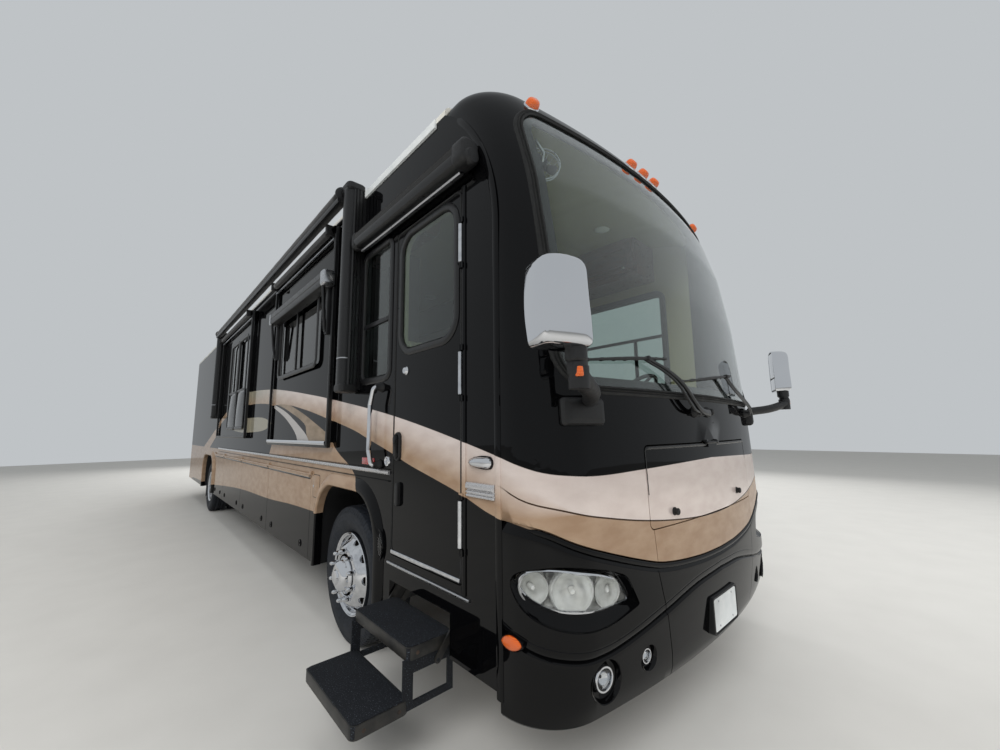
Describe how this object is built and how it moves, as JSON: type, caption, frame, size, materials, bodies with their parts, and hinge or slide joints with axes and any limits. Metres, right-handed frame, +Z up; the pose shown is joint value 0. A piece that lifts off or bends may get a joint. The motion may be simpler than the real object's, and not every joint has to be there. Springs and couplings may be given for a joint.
{
  "type": "motorhome",
  "caption": "Long rear-engined motorhome with slide-out rooms, folding entry steps, awnings, luggage doors, steered front wheels and twin rear wheels.",
  "frame": {"origin": "on the ground under the middle of the front axle", "axes": "+X forward, +Y towards the left side, +Z up"},
  "size_m": [12.7228, 3.3097, 3.7899],
  "materials": {
    "chassis_frame": "black chassis paint",
    "floor": "sealed plywood and tile",
    "storage_bays": "black chassis paint",
    "right_wall": "gloss black coach paint",
    "left_wall": "gloss black coach paint",
    "roof": "white fibreglass",
    "front_cap": "gloss black coach paint",
    "rear_cap": "gloss black coach paint",
    "windshield": "tinted safety glass",
    "side_windows": "dark tinted glass",
    "dashboard": "textured",
    "steering_wheel": "textured",
    "cab_seats": "stitched hide",
    "front_lamps": "clear lens over bright reflectors",
    "marker_lamps": "amber lens",
    "tail_lamps": "red lens",
    "mirrors": "chrome housings on black arms",
    "wipers": "black",
    "grab_handle": "polished",
    "patio_awning": "black powder coat",
    "door_awning": "black powder coat",
    "roof_air_conditioners": "moulded shroud",
    "front_axle": "black chassis paint",
    "rear_axle": "black chassis paint",
    "engine": "painted casting",
    "entry_door": "gloss black coach paint",
    "entry_door_window": "dark tinted glass",
    "step_inner_links": "black chassis paint",
    "step_outer_links": "black chassis paint",
    "entry_steps": "grit tread",
    "front_hatch": "gloss black coach paint",
    "engine_door": "gloss black coach paint",
    "right_front_room": "gloss black coach paint",
    "right_front_room_windows": "dark tinted glass",
    "right_rear_room": "gloss black coach paint",
    "right_rear_room_windows": "dark tinted glass",
    "left_room": "gloss black coach paint",
    "left_room_windows": "dark tinted glass",
    "right_knuckle": "black chassis paint",
    "front_right_rim": "polished alloy",
    "front_right_tyre": "rubber",
    "rear_right_rim": "polished alloy",
    "rear_right_tyres": "rubber",
    "right_luggage_door_1": "gloss black coach paint",
    "right_luggage_door_2": "gloss black coach paint",
    "right_luggage_door_3": "gloss black coach paint",
    "right_luggage_door_4": "gloss black coach paint",
    "left_knuckle": "black chassis paint",
    "front_left_rim": "polished alloy",
    "front_left_tyre": "rubber",
    "rear_left_rim": "polished alloy",
    "rear_left_tyres": "rubber",
    "left_luggage_door_1": "gloss black coach paint",
    "left_luggage_door_2": "gloss black coach paint",
    "left_luggage_door_3": "gloss black coach paint",
    "left_luggage_door_4": "gloss black coach paint"
  },
  "bodies": {
    "motorhome_body": {"chassis_frame": "chassis_frame", "floor": "floor", "storage_bays": "storage_bays", "right_wall": "right_wall", "left_wall": "left_wall", "roof": "roof", "front_cap": "front_cap", "rear_cap": "rear_cap", "windshield": "windshield", "side_windows": "side_windows", "dashboard": "dashboard", "steering_wheel": "steering_wheel", "cab_seats": "cab_seats", "front_lamps": "front_lamps", "marker_lamps": "marker_lamps", "tail_lamps": "tail_lamps", "mirrors": "mirrors", "wipers": "wipers", "grab_handle": "grab_handle", "patio_awning": "patio_awning", "door_awning": "door_awning", "roof_air_conditioners": "roof_air_conditioners", "front_axle": "front_axle", "rear_axle": "rear_axle", "engine": "engine"},
    "entry_door": {"entry_door": "entry_door", "entry_door_window": "entry_door_window"},
    "step_inner_links": {"step_inner_links": "step_inner_links"},
    "step_outer_links": {"step_outer_links": "step_outer_links"},
    "entry_steps": {"entry_steps": "entry_steps"},
    "front_hatch": {"front_hatch": "front_hatch"},
    "engine_door": {"engine_door": "engine_door"},
    "right_front_room": {"right_front_room": "right_front_room", "right_front_room_windows": "right_front_room_windows"},
    "right_rear_room": {"right_rear_room": "right_rear_room", "right_rear_room_windows": "right_rear_room_windows"},
    "left_room": {"left_room": "left_room", "left_room_windows": "left_room_windows"},
    "right_knuckle": {"right_knuckle": "right_knuckle"},
    "front_right_wheel": {"front_right_rim": "front_right_rim", "front_right_tyre": "front_right_tyre"},
    "rear_right_wheels": {"rear_right_rim": "rear_right_rim", "rear_right_tyres": "rear_right_tyres"},
    "right_luggage_door_1": {"right_luggage_door_1": "right_luggage_door_1"},
    "right_luggage_door_2": {"right_luggage_door_2": "right_luggage_door_2"},
    "right_luggage_door_3": {"right_luggage_door_3": "right_luggage_door_3"},
    "right_luggage_door_4": {"right_luggage_door_4": "right_luggage_door_4"},
    "left_knuckle": {"left_knuckle": "left_knuckle"},
    "front_left_wheel": {"front_left_rim": "front_left_rim", "front_left_tyre": "front_left_tyre"},
    "rear_left_wheels": {"rear_left_rim": "rear_left_rim", "rear_left_tyres": "rear_left_tyres"},
    "left_luggage_door_1": {"left_luggage_door_1": "left_luggage_door_1"},
    "left_luggage_door_2": {"left_luggage_door_2": "left_luggage_door_2"},
    "left_luggage_door_3": {"left_luggage_door_3": "left_luggage_door_3"},
    "left_luggage_door_4": {"left_luggage_door_4": "left_luggage_door_4"}
  },
  "joints": [
    {"name": "entry_door_swing", "type": "hinge", "parent": "motorhome_body", "child": "entry_door", "pos_m": [1.452, -1.297, 1.8], "axis": [0, 0, 1], "range_deg": [0, 95]},
    {"name": "step_swing", "type": "hinge", "parent": "motorhome_body", "child": "step_inner_links", "pos_m": [1.04, -1.02, 0.71], "axis": [1, 0, 0], "range_deg": [0, 120]},
    {"name": "step_outer_link_swing", "type": "hinge", "parent": "motorhome_body", "child": "step_outer_links", "pos_m": [1.04, -1.14, 0.685], "axis": [1, 0, 0], "range_deg": [0, 120]},
    {"name": "step_level", "type": "hinge", "parent": "step_inner_links", "child": "entry_steps", "pos_m": [1.04, -1.22569, 0.46487], "axis": [1, 0, 0], "range_deg": [-120, 0]},
    {"name": "front_hatch_lift", "type": "hinge", "parent": "motorhome_body", "child": "front_hatch", "pos_m": [2.15088, 0, 1.427], "axis": [0, -1, 0], "range_deg": [0, 80]},
    {"name": "engine_door_lift", "type": "hinge", "parent": "motorhome_body", "child": "engine_door", "pos_m": [-10.412, 0, 1.422], "axis": [0, 1, 0], "range_deg": [0, 85]},
    {"name": "right_front_room_slide", "type": "slide", "parent": "motorhome_body", "child": "right_front_room", "axis": [0, -1, 0], "range_m": [0, 0.7]},
    {"name": "right_rear_room_slide", "type": "slide", "parent": "motorhome_body", "child": "right_rear_room", "axis": [0, -1, 0], "range_m": [0, 0.7]},
    {"name": "left_room_slide", "type": "slide", "parent": "motorhome_body", "child": "left_room", "axis": [0, 1, 0], "range_m": [0, 0.7]},
    {"name": "right_luggage_door_1_lift", "type": "hinge", "parent": "motorhome_body", "child": "right_luggage_door_1", "pos_m": [-1.51, -1.297, 1.146], "axis": [-1, 0, 0], "range_deg": [0, 90]},
    {"name": "right_luggage_door_2_lift", "type": "hinge", "parent": "motorhome_body", "child": "right_luggage_door_2", "pos_m": [-3.01, -1.297, 1.146], "axis": [-1, 0, 0], "range_deg": [0, 90]},
    {"name": "right_luggage_door_3_lift", "type": "hinge", "parent": "motorhome_body", "child": "right_luggage_door_3", "pos_m": [-4.5, -1.297, 1.146], "axis": [-1, 0, 0], "range_deg": [0, 90]},
    {"name": "right_luggage_door_4_lift", "type": "hinge", "parent": "motorhome_body", "child": "right_luggage_door_4", "pos_m": [-5.725, -1.297, 1.146], "axis": [-1, 0, 0], "range_deg": [0, 90]},
    {"name": "right_steering", "type": "hinge", "parent": "motorhome_body", "child": "right_knuckle", "pos_m": [0, -0.93, 0.4785], "axis": [0, 0, 1], "range_deg": [-45, 45]},
    {"name": "front_right_wheel_spin", "type": "hinge", "parent": "right_knuckle", "child": "front_right_wheel", "pos_m": [0, -1.1025, 0.4785], "axis": [0, 1, 0], "continuous": true},
    {"name": "rear_right_wheels_spin", "type": "hinge", "parent": "motorhome_body", "child": "rear_right_wheels", "pos_m": [-7, -0.9475, 0.4785], "axis": [0, 1, 0], "continuous": true},
    {"name": "left_luggage_door_1_lift", "type": "hinge", "parent": "motorhome_body", "child": "left_luggage_door_1", "pos_m": [-1.51, 1.297, 1.146], "axis": [1, 0, 0], "range_deg": [0, 90]},
    {"name": "left_luggage_door_2_lift", "type": "hinge", "parent": "motorhome_body", "child": "left_luggage_door_2", "pos_m": [-3.01, 1.297, 1.146], "axis": [1, 0, 0], "range_deg": [0, 90]},
    {"name": "left_luggage_door_3_lift", "type": "hinge", "parent": "motorhome_body", "child": "left_luggage_door_3", "pos_m": [-4.5, 1.297, 1.146], "axis": [1, 0, 0], "range_deg": [0, 90]},
    {"name": "left_luggage_door_4_lift", "type": "hinge", "parent": "motorhome_body", "child": "left_luggage_door_4", "pos_m": [-5.725, 1.297, 1.146], "axis": [1, 0, 0], "range_deg": [0, 90]},
    {"name": "left_steering", "type": "hinge", "parent": "motorhome_body", "child": "left_knuckle", "pos_m": [0, 0.93, 0.4785], "axis": [0, 0, 1], "range_deg": [-45, 45]},
    {"name": "front_left_wheel_spin", "type": "hinge", "parent": "left_knuckle", "child": "front_left_wheel", "pos_m": [0, 1.1025, 0.4785], "axis": [0, 1, 0], "continuous": true},
    {"name": "rear_left_wheels_spin", "type": "hinge", "parent": "motorhome_body", "child": "rear_left_wheels", "pos_m": [-7, 0.9475, 0.4785], "axis": [0, 1, 0], "continuous": true}
  ],
  "couplings": [
    {"joint": "left_steering", "follows": "right_steering", "ratio": 1},
    {"joint": "step_outer_link_swing", "follows": "step_swing", "ratio": 1},
    {"joint": "step_level", "follows": "step_swing", "ratio": -1}
  ]
}
